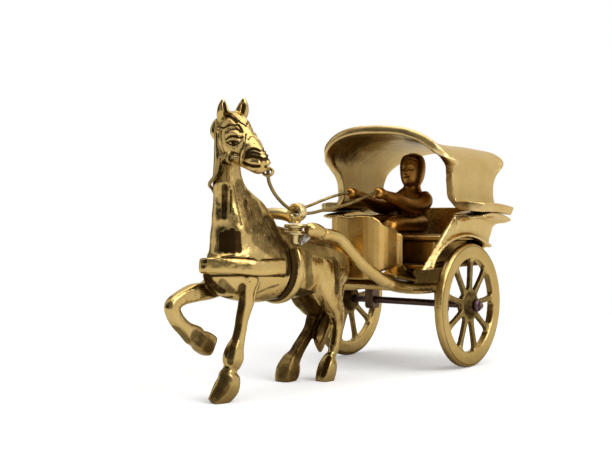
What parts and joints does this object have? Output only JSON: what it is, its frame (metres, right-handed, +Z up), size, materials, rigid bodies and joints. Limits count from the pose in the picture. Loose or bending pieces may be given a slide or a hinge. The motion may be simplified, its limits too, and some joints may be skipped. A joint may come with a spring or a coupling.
{
  "type": "horse-drawn carriage ornament",
  "caption": "Polished cast brass ornament of a harnessed horse with one foreleg raised, drawing a two-wheeled covered carriage with a seated driver.",
  "frame": {"origin": "centre of the bounding box's bottom face, on the ground under the middle of the piece", "axes": "+Y runs from the horse's nose to the carriage's rear, +X to the horse's left, +Z up"},
  "size_m": [0.1028, 0.2277, 0.1284],
  "materials": {
    "brass": "polished cast, darkened in its hollows",
    "pale_brass": "softly polished cast",
    "solder": "dull silvery solder",
    "steel": "dark worn steel"
  },
  "bodies": {
    "carriage_and_horse": {"axle_block_left": "steel", "axle_block_right": "steel", "axle_rod": "steel", "bit_ring_left": "pale_brass", "bit_ring_right": "pale_brass", "breast_strap": "brass", "cab_tub": "pale_brass", "canopy": "pale_brass", "canopy_stud_front_left": "pale_brass", "canopy_stud_front_right": "pale_brass", "canopy_stud_rear_left": "pale_brass", "canopy_stud_rear_right": "pale_brass", "dash_board": "brass", "driver_figure": "brass", "floor_plate": "pale_brass", "girth_strap": "brass", "horse_casting": "brass", "hub_nut_left": "steel", "hub_nut_right": "steel", "rein_left": "pale_brass", "rein_right": "pale_brass", "seat_bench": "brass", "shaft_cross_bar": "brass", "shaft_left": "pale_brass", "shaft_right": "pale_brass", "side_rivet_left": "brass", "side_rivet_right": "brass", "solder_left": "solder", "solder_right": "solder", "tug_spool_left": "pale_brass", "tug_spool_right": "pale_brass", "yoke_arch": "pale_brass"},
    "left_wheel": {"wheel_left": "brass"},
    "right_wheel": {"wheel_right": "brass"}
  },
  "joints": [
    {"name": "wheel_left_spin", "type": "hinge", "parent": "carriage_and_horse", "child": "left_wheel", "pos_m": [0.0379, 0.0589, 0.032], "axis": [1, 0, 0], "continuous": true},
    {"name": "wheel_right_spin", "type": "hinge", "parent": "carriage_and_horse", "child": "right_wheel", "pos_m": [-0.0379, 0.0589, 0.032], "axis": [1, 0, 0], "continuous": true}
  ]
}
